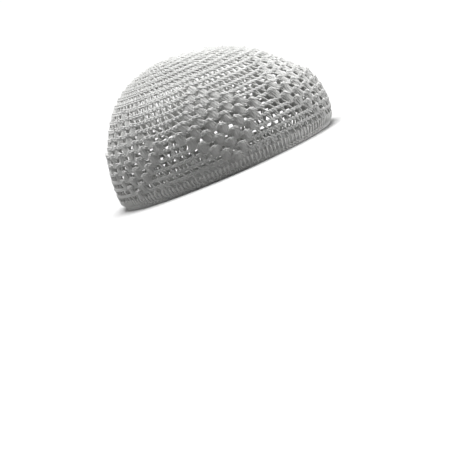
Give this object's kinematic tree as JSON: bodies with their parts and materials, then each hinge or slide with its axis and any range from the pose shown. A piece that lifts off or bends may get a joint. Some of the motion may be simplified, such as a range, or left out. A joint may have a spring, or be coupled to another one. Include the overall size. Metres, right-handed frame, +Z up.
{
  "type": "crocheted kufi skull cap",
  "caption": "White crocheted openwork skull cap: a hollow dome of net with raised diamonds round its side, a ribbed rim band and a smooth edge row.",
  "frame": {"origin": "under the middle of the cap's bounding box, on the surface that its rim rests on", "axes": "+Z up through the crown, -Y to the front of the cap, which is longest along Y"},
  "size_m": [0.175, 0.2121, 0.1114],
  "materials": {
    "net": "matte crocheted cotton yarn, white, with a faint sheen on each twisted strand",
    "band": "dense matte crocheted cotton posts, white",
    "edge": "smooth matte cotton edge row, white"
  },
  "bodies": {
    "root": {"crown_top": "net", "side_net": "net", "rim_band": "band", "edge_row": "edge"}
  },
  "joints": []
}
